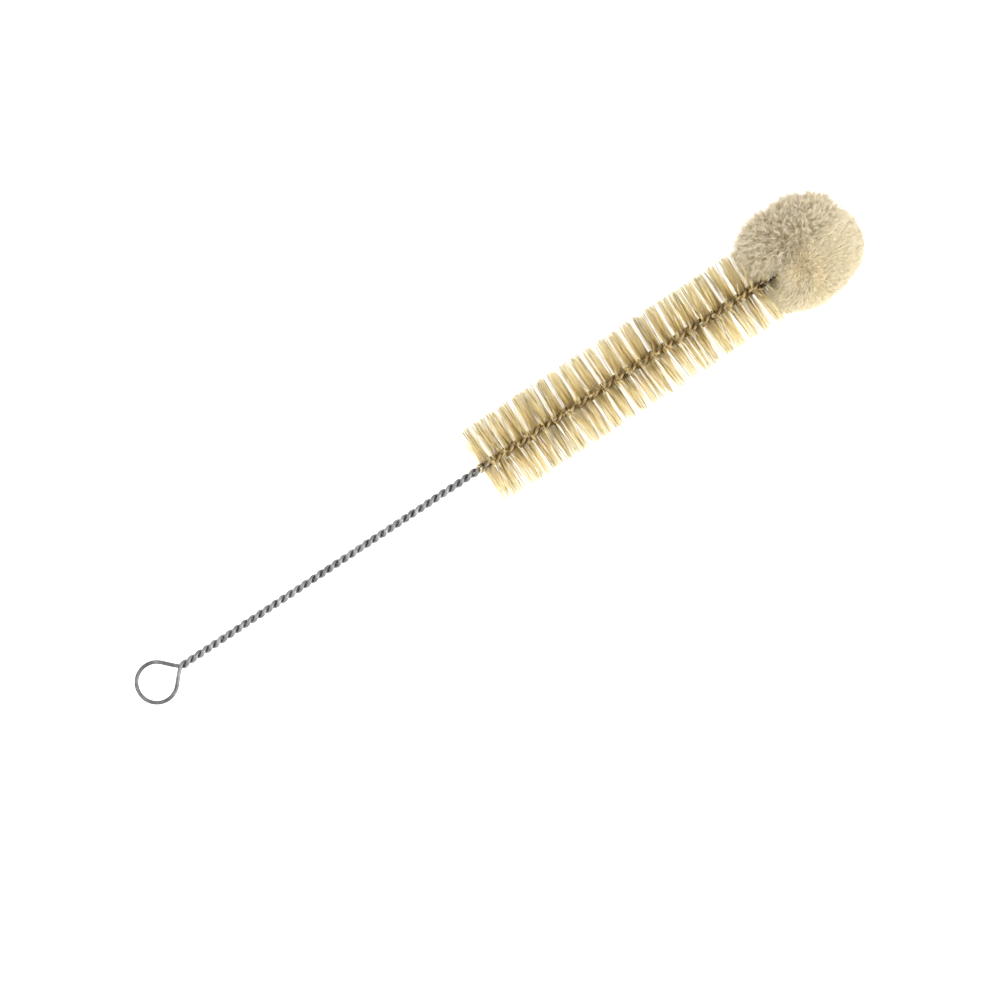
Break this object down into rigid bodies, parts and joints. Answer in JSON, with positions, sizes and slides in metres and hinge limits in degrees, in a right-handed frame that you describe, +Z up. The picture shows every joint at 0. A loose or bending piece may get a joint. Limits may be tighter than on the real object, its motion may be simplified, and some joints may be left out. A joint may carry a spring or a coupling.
{
  "type": "bottle brush",
  "caption": "Twisted-wire bottle brush: a finger loop, a bare twisted stem, a bristled stretch and a round wool tip.",
  "frame": {"origin": "on the surface that the brush lies on, under the middle of its bounding box", "axes": "+X along the brush from the finger loop to the wool tip, +Z up from the surface; the brush's own axis rises 1.78 degrees towards +X"},
  "size_m": [0.2998, 0.04, 0.0392],
  "materials": {
    "wire": "satin",
    "bristle": "satin",
    "wool": "matte"
  },
  "bodies": {
    "root": {"twisted_wire": "wire", "bristle_tuft_01": "bristle", "bristle_tuft_02": "bristle", "bristle_tuft_03": "bristle", "bristle_tuft_04": "bristle", "bristle_tuft_05": "bristle", "bristle_tuft_06": "bristle", "bristle_tuft_07": "bristle", "bristle_tuft_08": "bristle", "bristle_tuft_09": "bristle", "bristle_tuft_10": "bristle", "bristle_tuft_11": "bristle", "bristle_tuft_12": "bristle", "bristle_tuft_13": "bristle", "bristle_tuft_14": "bristle", "bristle_tuft_15": "bristle", "bristle_tuft_16": "bristle", "bristle_tuft_17": "bristle", "bristle_tuft_18": "bristle", "bristle_tuft_19": "bristle", "bristle_tuft_20": "bristle", "bristle_tuft_21": "bristle", "bristle_tuft_22": "bristle", "bristle_tuft_23": "bristle", "bristle_tuft_24": "bristle", "wool_tip": "wool"}
  },
  "joints": []
}
